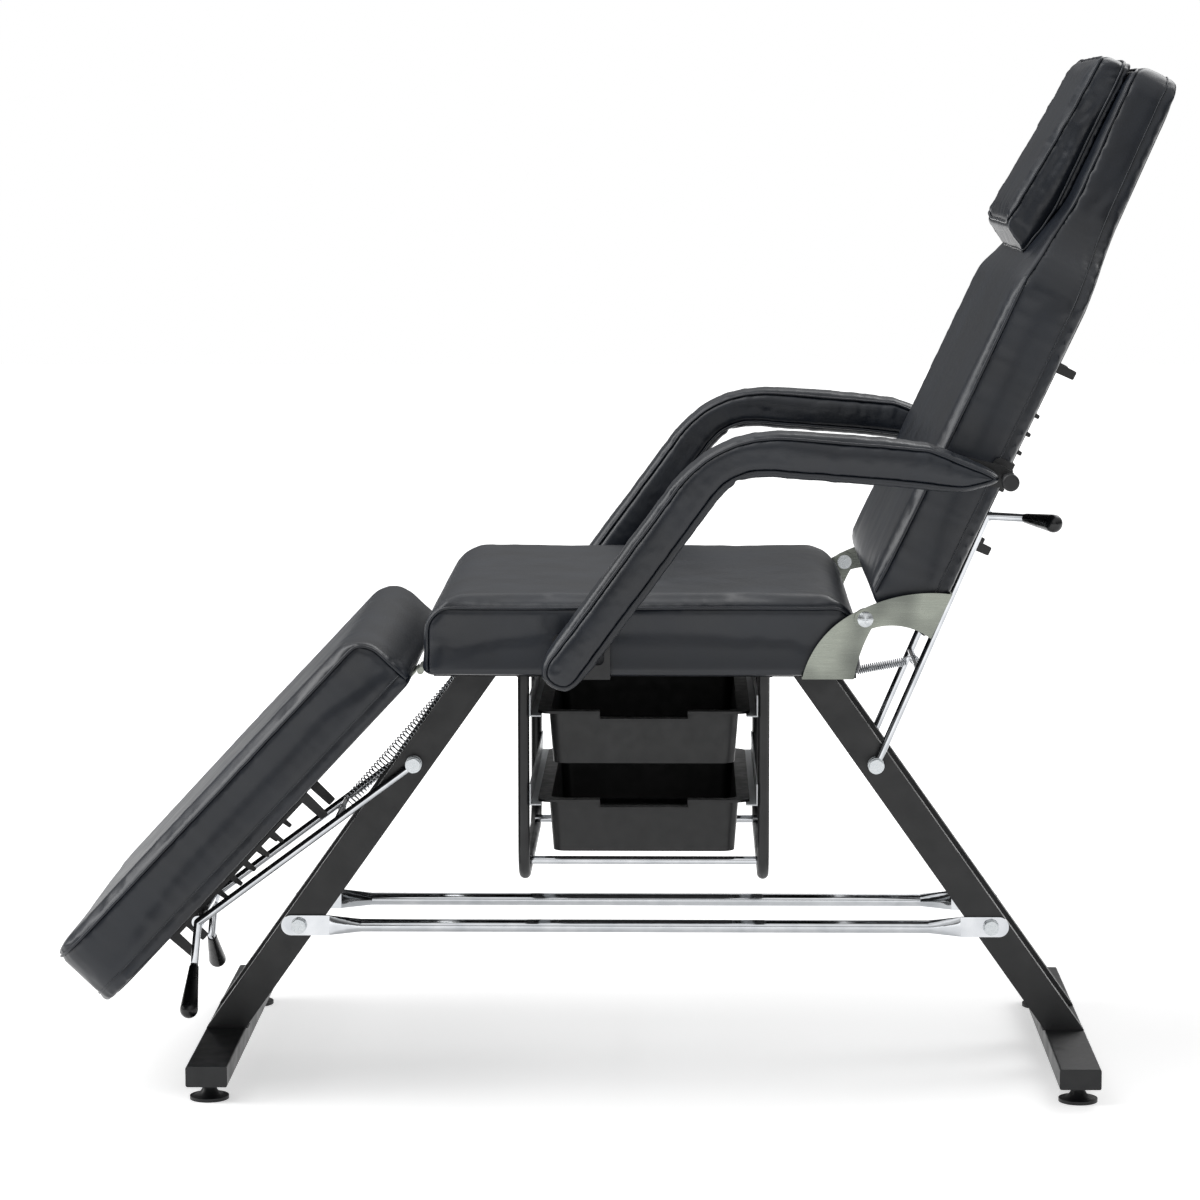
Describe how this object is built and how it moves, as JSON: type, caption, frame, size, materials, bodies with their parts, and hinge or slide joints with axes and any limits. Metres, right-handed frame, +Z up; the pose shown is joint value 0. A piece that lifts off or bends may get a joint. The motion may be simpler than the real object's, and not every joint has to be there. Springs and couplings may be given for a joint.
{
  "type": "tattoo chair",
  "caption": "Adjustable tattoo and treatment chair: reclining back, hinged leg rest, padded armrests, pillow, steel frame and sliding trays under the seat",
  "frame": {"origin": "on the floor, under the middle of the whole chair", "axes": "+Z up, +X from the leg rest toward the back, +Y from the near side to the far side"},
  "size_m": [1.3444, 0.826, 1.2525],
  "materials": {
    "black_plastic": "matte",
    "grip_plastic": "satin",
    "tray_plastic": "matte",
    "black_steel": "satin",
    "rack_steel": "satin",
    "rail_steel": "satin",
    "chrome": "polished",
    "spring_steel": "polished",
    "hinge_steel": "brushed",
    "zinc_steel": "satin",
    "board_wood": "matte",
    "upholstery": "satin"
  },
  "bodies": {
    "base": {"foot_bar_front": "black_steel", "foot_bar_caps_front": "black_plastic", "foot_bar_rear": "black_steel", "foot_bar_caps_rear": "black_plastic", "leg_front_near": "black_steel", "leg_front_far": "black_steel", "leg_rear_near": "black_steel", "leg_rear_far": "black_steel", "seat_frame": "black_steel", "seat_board": "board_wood", "seat_cushion": "upholstery", "stretcher_near": "chrome", "stretcher_far": "chrome", "stretcher_bolts_near": "zinc_steel", "stretcher_bolts_far": "zinc_steel", "tray_hoop_front": "black_steel", "tray_hoop_rear": "black_steel", "tray_bars": "chrome", "tray_rails_upper": "rail_steel", "tray_rails_lower": "rail_steel", "seat_hinge_plate_near": "hinge_steel", "seat_hinge_plate_far": "hinge_steel", "back_pivot_rivet_near": "zinc_steel", "back_pivot_rivet_far": "zinc_steel", "leg_hinge_seat_half": "zinc_steel", "front_strut_bolts": "zinc_steel", "rear_strut_bolts": "zinc_steel", "front_spring": "spring_steel", "rear_spring": "spring_steel", "armrest_slot_plate_near": "black_steel", "armrest_slot_plate_far": "black_steel"},
    "back": {"back_hinge_plate_near": "hinge_steel", "back_hinge_plate_far": "hinge_steel", "back_board": "board_wood", "back_cushion": "upholstery", "back_rack_near": "rack_steel", "back_rack_far": "rack_steel", "armrest_bracket_near": "black_steel", "armrest_bracket_far": "black_steel", "armrest_caps": "black_plastic"},
    "leg_rest": {"leg_rest_board": "board_wood", "leg_rest_cushion": "upholstery", "leg_hinge_rest_half": "zinc_steel", "leg_rest_rack_near": "rack_steel", "leg_rest_rack_far": "rack_steel"},
    "rear_strut": {"rear_strut": "chrome", "rear_strut_grips": "grip_plastic"},
    "front_strut": {"front_strut": "chrome", "front_strut_grips": "grip_plastic"},
    "armrest_near": {"armrest_pad_near": "upholstery", "armrest_bar_near": "black_steel"},
    "armrest_far": {"armrest_pad_far": "upholstery", "armrest_bar_far": "black_steel"},
    "pillow": {"pillow": "upholstery"},
    "tray_upper": {"tray_upper": "tray_plastic"},
    "tray_lower": {"tray_lower": "tray_plastic"},
    "levelling_foot_front_near": {"levelling_foot_front_near": "black_plastic"},
    "levelling_foot_front_far": {"levelling_foot_front_far": "black_plastic"},
    "levelling_foot_rear_near": {"levelling_foot_rear_near": "black_plastic"},
    "levelling_foot_rear_far": {"levelling_foot_rear_far": "black_plastic"}
  },
  "joints": [
    {"name": "back_recline", "type": "hinge", "parent": "base", "child": "back", "pos_m": [0.29451, 0, 0.589], "axis": [0, 1, 0], "range_deg": [0, 64.8]},
    {"name": "rear_strut_swing", "type": "hinge", "parent": "base", "child": "rear_strut", "pos_m": [0.31897, 0, 0.38], "axis": [0, 1, 0], "range_deg": [0, 48.71], "deforming": ["rear_spring"]},
    {"name": "armrest_near_turn", "type": "hinge", "parent": "back", "child": "armrest_near", "pos_m": [0.45431, 0, 0.76], "axis": [0, 1, 0], "range_deg": [-39.51, 0]},
    {"name": "armrest_far_turn", "type": "hinge", "parent": "back", "child": "armrest_far", "pos_m": [0.45431, 0, 0.76], "axis": [0, 1, 0], "range_deg": [-39.51, 0]},
    {"name": "pillow_lift", "type": "slide", "parent": "back", "child": "pillow", "axis": [-0.9048, 0, 0.4258], "range_m": [0, 0.12]},
    {"name": "leg_rest_lift", "type": "hinge", "parent": "base", "child": "leg_rest", "pos_m": [-0.23419, 0, 0.515], "axis": [0, 1, 0], "range_deg": [0, 46.97]},
    {"name": "front_strut_swing", "type": "hinge", "parent": "base", "child": "front_strut", "pos_m": [-0.25235, 0, 0.38], "axis": [0, 1, 0], "range_deg": [0, 54.05], "deforming": ["front_spring"]},
    {"name": "tray_upper_slide", "type": "slide", "parent": "base", "child": "tray_upper", "axis": [0, -1, 0], "range_m": [0, 0.25]},
    {"name": "tray_lower_slide", "type": "slide", "parent": "base", "child": "tray_lower", "axis": [0, -1, 0], "range_m": [0, 0.25]},
    {"name": "levelling_foot_front_near_turn", "type": "hinge", "parent": "base", "child": "levelling_foot_front_near", "pos_m": [-0.48919, -0.252, 0], "axis": [0, 0, 1], "continuous": true},
    {"name": "levelling_foot_front_far_turn", "type": "hinge", "parent": "base", "child": "levelling_foot_front_far", "pos_m": [-0.48919, 0.252, 0], "axis": [0, 0, 1], "continuous": true},
    {"name": "levelling_foot_rear_near_turn", "type": "hinge", "parent": "base", "child": "levelling_foot_rear_near", "pos_m": [0.55581, -0.252, 0], "axis": [0, 0, 1], "continuous": true},
    {"name": "levelling_foot_rear_far_turn", "type": "hinge", "parent": "base", "child": "levelling_foot_rear_far", "pos_m": [0.55581, 0.252, 0], "axis": [0, 0, 1], "continuous": true}
  ],
  "couplings": [
    {"joint": "rear_strut_swing", "follows": "back_recline", "ratio": 0.744},
    {"joint": "armrest_near_turn", "follows": "back_recline", "ratio": -0.602},
    {"joint": "armrest_far_turn", "follows": "back_recline", "ratio": -0.602},
    {"joint": "front_strut_swing", "follows": "leg_rest_lift", "ratio": 1.14}
  ]
}
